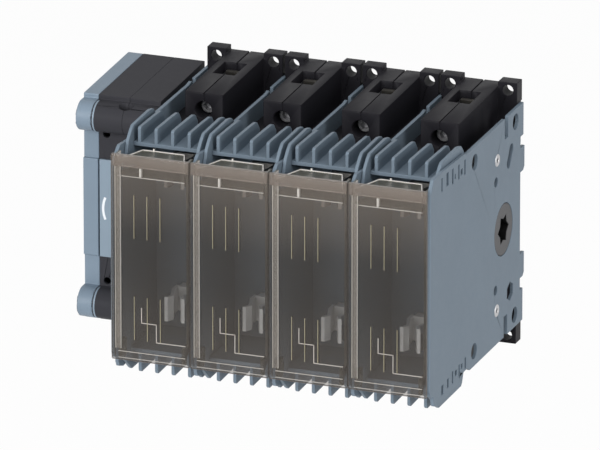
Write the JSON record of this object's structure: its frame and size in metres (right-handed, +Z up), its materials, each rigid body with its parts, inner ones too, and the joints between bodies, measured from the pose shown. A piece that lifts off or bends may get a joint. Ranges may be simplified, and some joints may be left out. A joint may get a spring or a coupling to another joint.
{
  "type": "fuse switch disconnector",
  "caption": "Panel-mounted fuse switch disconnector with hinged smoked fuse covers, finned housings, clamp terminals and a rotary operating mechanism on its left side.",
  "frame": {"origin": "centre of the mounting holes, on the plane of the mounting plate", "axes": "+X along the row of poles, away from the operating mechanism; +Y to the rear, into the mounting plate; +Z up"},
  "size_m": [0.1814, 0.121, 0.1184],
  "materials": {
    "grey_plastic": "satin moulded, blue grey",
    "black_plastic": "satin moulded, black",
    "rotor_plastic": "satin moulded, dark grey",
    "smoked_cover": "clear plastic, smoked",
    "plated_bar": "silver plated copper",
    "steel": "zinc plated steel"
  },
  "bodies": {
    "housing": {"end_plate_left": "grey_plastic", "partition_plate_1": "grey_plastic", "partition_plate_2": "grey_plastic", "partition_plate_3": "grey_plastic", "end_plate_right": "grey_plastic", "tie_rivets": "steel", "fuse_chamber_1": "grey_plastic", "fuse_chamber_2": "grey_plastic", "fuse_chamber_3": "grey_plastic", "fuse_chamber_4": "grey_plastic", "terminal_base_left_1": "black_plastic", "terminal_base_right_1": "black_plastic", "terminal_base_left_2": "black_plastic", "terminal_base_right_2": "black_plastic", "terminal_base_left_3": "black_plastic", "terminal_base_right_3": "black_plastic", "terminal_base_left_4": "black_plastic", "terminal_base_right_4": "black_plastic", "line_terminal_1": "plated_bar", "upper_jaw_1": "plated_bar", "load_terminal_1": "plated_bar", "line_terminal_2": "plated_bar", "upper_jaw_2": "plated_bar", "load_terminal_2": "plated_bar", "line_terminal_3": "plated_bar", "upper_jaw_3": "plated_bar", "load_terminal_3": "plated_bar", "line_terminal_4": "plated_bar", "upper_jaw_4": "plated_bar", "load_terminal_4": "plated_bar", "jaw_springs": "steel", "clamp_cages": "steel", "clamp_screws": "steel", "rack_spring": "steel", "mechanism_side_shell": "grey_plastic", "mechanism_front_panel": "grey_plastic", "mechanism_case_left": "black_plastic", "mechanism_case_right": "black_plastic"},
    "cover_1": {"fuse_cover_1": "smoked_cover"},
    "cover_2": {"fuse_cover_2": "smoked_cover"},
    "cover_3": {"fuse_cover_3": "smoked_cover"},
    "cover_4": {"fuse_cover_4": "smoked_cover"},
    "switch_shaft": {"rotor_1": "rotor_plastic", "rotor_2": "rotor_plastic", "rotor_3": "rotor_plastic", "rotor_4": "rotor_plastic", "moving_contact_1": "plated_bar", "moving_contact_2": "plated_bar", "moving_contact_3": "plated_bar", "moving_contact_4": "plated_bar", "switch_shaft": "steel", "shaft_pinion": "steel"},
    "drive_spindle": {"drive_spindle": "steel"},
    "slide_rack": {"slide_rack": "steel"}
  },
  "joints": [
    {"name": "cover_1_hinge", "type": "hinge", "parent": "housing", "child": "cover_1", "pos_m": [-0.0534, -0.1158, -0.0425], "axis": [1, 0, 0], "range_deg": [0, 75]},
    {"name": "cover_2_hinge", "type": "hinge", "parent": "housing", "child": "cover_2", "pos_m": [-0.0178, -0.1158, -0.0425], "axis": [1, 0, 0], "range_deg": [0, 75]},
    {"name": "cover_3_hinge", "type": "hinge", "parent": "housing", "child": "cover_3", "pos_m": [0.0178, -0.1158, -0.0425], "axis": [1, 0, 0], "range_deg": [0, 75]},
    {"name": "cover_4_hinge", "type": "hinge", "parent": "housing", "child": "cover_4", "pos_m": [0.0534, -0.1158, -0.0425], "axis": [1, 0, 0], "range_deg": [0, 75]},
    {"name": "spindle_turn", "type": "hinge", "parent": "housing", "child": "drive_spindle", "pos_m": [-0.08755, -0.05, -0.0019], "axis": [0, 1, 0], "range_deg": [0, 90]},
    {"name": "rack_slide", "type": "slide", "parent": "housing", "child": "slide_rack", "axis": [0, 0, 1], "range_m": [0, 0.01539], "deforming": ["rack_spring"]},
    {"name": "shaft_turn", "type": "hinge", "parent": "housing", "child": "switch_shaft", "pos_m": [0, -0.0265, 0], "axis": [-1, 0, 0], "range_deg": [0, 90]}
  ],
  "couplings": [
    {"joint": "rack_slide", "follows": "shaft_turn", "m_per_rad": 0.0098},
    {"joint": "spindle_turn", "follows": "shaft_turn", "ratio": 1}
  ]
}
